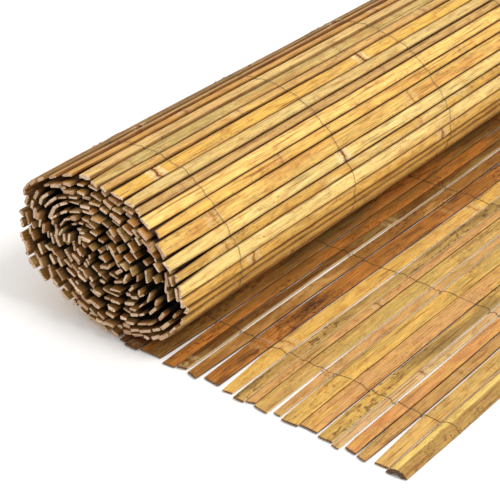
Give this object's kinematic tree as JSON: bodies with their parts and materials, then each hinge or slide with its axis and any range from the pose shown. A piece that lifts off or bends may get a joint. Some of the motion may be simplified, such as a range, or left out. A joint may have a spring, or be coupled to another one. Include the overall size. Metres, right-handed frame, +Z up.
{
  "type": "bamboo fence panel",
  "caption": "Roll of split-bamboo slat fencing bound by rows of thin wire, squashed and partly unrolled, with a flat tail of slats lying on the ground",
  "frame": {"origin": "on the ground, under the middle of the whole part", "axes": "+X along the unrolled tail away from the roll, +Y along the slats away from the viewer, +Z up"},
  "size_m": [0.4319, 1.0298, 0.1547],
  "materials": {
    "roll_bamboo": "dry golden split bamboo",
    "tail_bamboo": "dry split bamboo in mixed golden, olive and brown",
    "edge_bark": "dry bamboo bark, mottled",
    "binding_wire": "dull galvanised wire"
  },
  "bodies": {
    "root": {"edge_slat": "edge_bark", "tail_slat_01": "tail_bamboo", "tail_slat_02": "tail_bamboo", "tail_slat_03": "tail_bamboo", "tail_slat_04": "tail_bamboo", "tail_slat_05": "tail_bamboo", "tail_slat_06": "tail_bamboo", "tail_slat_07": "tail_bamboo", "tail_slat_08": "tail_bamboo", "tail_slat_09": "tail_bamboo", "tail_slat_10": "tail_bamboo", "tail_slat_11": "tail_bamboo", "tail_slat_12": "tail_bamboo", "tail_slat_13": "tail_bamboo", "tail_slat_14": "tail_bamboo", "tail_slat_15": "tail_bamboo", "tail_slat_16": "tail_bamboo", "tail_slat_17": "tail_bamboo", "tail_slat_18": "tail_bamboo", "tail_slat_19": "tail_bamboo", "turn_01_slats": "roll_bamboo", "turn_02_slats": "roll_bamboo", "turn_03_slats": "roll_bamboo", "turn_04_slats": "roll_bamboo", "turn_05_slats": "roll_bamboo", "turn_06_slats": "roll_bamboo", "turn_07_slats": "roll_bamboo", "turn_08_slats": "roll_bamboo", "turn_09_slats": "roll_bamboo", "turn_10_slats": "roll_bamboo", "turn_11_slats": "roll_bamboo", "wire_row_1": "binding_wire", "wire_row_2": "binding_wire", "wire_row_3": "binding_wire", "wire_row_4": "binding_wire", "wire_row_5": "binding_wire", "wire_row_6": "binding_wire"}
  },
  "joints": []
}
